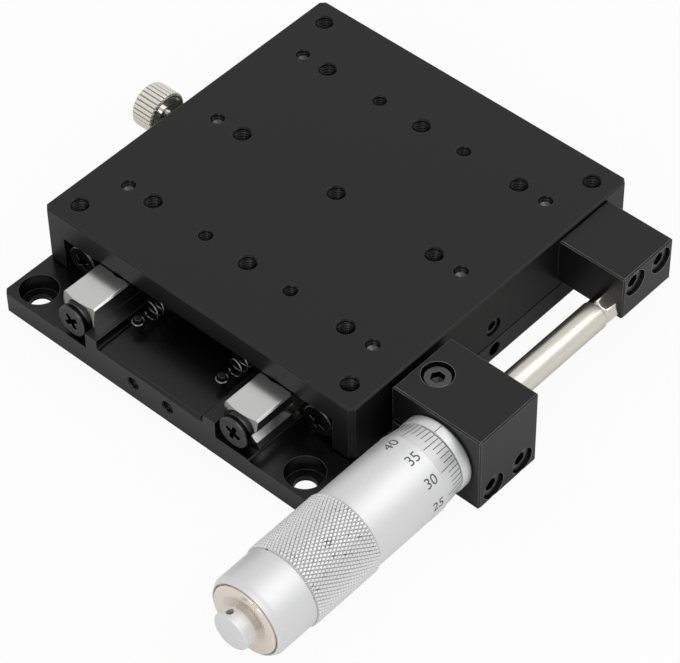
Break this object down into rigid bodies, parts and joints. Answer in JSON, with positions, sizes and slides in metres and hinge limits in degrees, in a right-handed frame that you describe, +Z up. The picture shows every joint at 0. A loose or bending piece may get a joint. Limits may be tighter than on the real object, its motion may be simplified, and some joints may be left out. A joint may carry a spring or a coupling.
{
  "type": "micrometer linear stage",
  "caption": "Square crossed-roller linear stage with a side-mounted micrometer head, spring return and a side lock screw.",
  "frame": {"origin": "centre of the base plate's underside", "axes": "+X along the travel, away from the micrometer's thimble; +Y towards the lock knob; +Z up out of the table"},
  "size_m": [0.1257, 0.1137, 0.019],
  "materials": {
    "black_anodised": "black anodised, satin",
    "ground_rail_steel": "ground",
    "black_steel": "black oxide",
    "dark_oxide_steel": "dark oxide with bright rims",
    "satin_chrome": "satin chrome plated",
    "polished_steel": "ground and polished",
    "nickel": "nickel plated, warm",
    "cage_strip": "stamped brass",
    "spring_wire": "blackened spring wire"
  },
  "bodies": {
    "base": {"base_plate": "black_anodised", "base_rail_left": "ground_rail_steel", "base_rail_right": "ground_rail_steel", "base_rail_screws": "black_steel", "base_rail_end_washers": "dark_oxide_steel", "base_rail_end_screws": "dark_oxide_steel", "base_spring_pins": "black_steel", "micrometer_bracket": "black_anodised", "bracket_screws": "black_steel", "clamp_screw": "black_steel", "micrometer_sleeve": "satin_chrome", "adjusting_nut": "satin_chrome", "lock_plate": "black_anodised", "lock_plate_screws": "black_steel", "spring_left": "spring_wire", "spring_right": "spring_wire"},
    "table": {"table_plate": "black_anodised", "table_rail_left": "ground_rail_steel", "table_rail_right": "ground_rail_steel", "table_rail_screws": "black_steel", "table_rail_end_washers": "dark_oxide_steel", "table_rail_end_screws": "dark_oxide_steel", "preload_screws": "black_steel", "table_spring_pins": "black_steel", "anvil_bracket": "black_anodised", "anvil_screws": "black_steel", "anvil": "nickel"},
    "cage_left": {"cage_left": "cage_strip", "rollers_left": "ground_rail_steel"},
    "cage_right": {"cage_right": "cage_strip", "rollers_right": "ground_rail_steel"},
    "spindle": {"spindle": "polished_steel"},
    "thimble": {"thimble": "satin_chrome", "end_disc": "nickel", "end_button": "nickel"},
    "lock_screw": {"lock_screw": "nickel"},
    "lock_knob": {"lock_knob": "nickel"}
  },
  "joints": [
    {"name": "spindle_slide", "type": "slide", "parent": "base", "child": "spindle", "axis": [1, 0, 0], "range_m": [-0.025, 0]},
    {"name": "thimble_turn", "type": "hinge", "parent": "spindle", "child": "thimble", "pos_m": [-0.045, -0.0524, 0.0094], "axis": [1, 0, 0], "range_deg": [-18000, 0]},
    {"name": "table_slide", "type": "slide", "parent": "base", "child": "table", "axis": [1, 0, 0], "range_m": [-0.025, 0], "deforming": ["spring_left", "spring_right"]},
    {"name": "cage_left_slide", "type": "slide", "parent": "base", "child": "cage_left", "axis": [1, 0, 0], "range_m": [-0.0125, 0]},
    {"name": "cage_right_slide", "type": "slide", "parent": "base", "child": "cage_right", "axis": [1, 0, 0], "range_m": [-0.0125, 0]},
    {"name": "lock_screw_slide", "type": "slide", "parent": "table", "child": "lock_screw", "axis": [0, 1, 0], "range_m": [-0.00295, 0.0008]},
    {"name": "lock_knob_turn", "type": "hinge", "parent": "lock_screw", "child": "lock_knob", "pos_m": [0.0125, 0.0488, 0.011], "axis": [0, 1, 0], "range_deg": [-2124, 576]}
  ],
  "couplings": [
    {"joint": "spindle_slide", "follows": "table_slide", "ratio": 1},
    {"joint": "thimble_turn", "follows": "table_slide", "rad_per_m": 12566},
    {"joint": "cage_left_slide", "follows": "table_slide", "ratio": 0.5},
    {"joint": "cage_right_slide", "follows": "table_slide", "ratio": 0.5},
    {"joint": "lock_knob_turn", "follows": "lock_screw_slide", "rad_per_m": 12566}
  ]
}
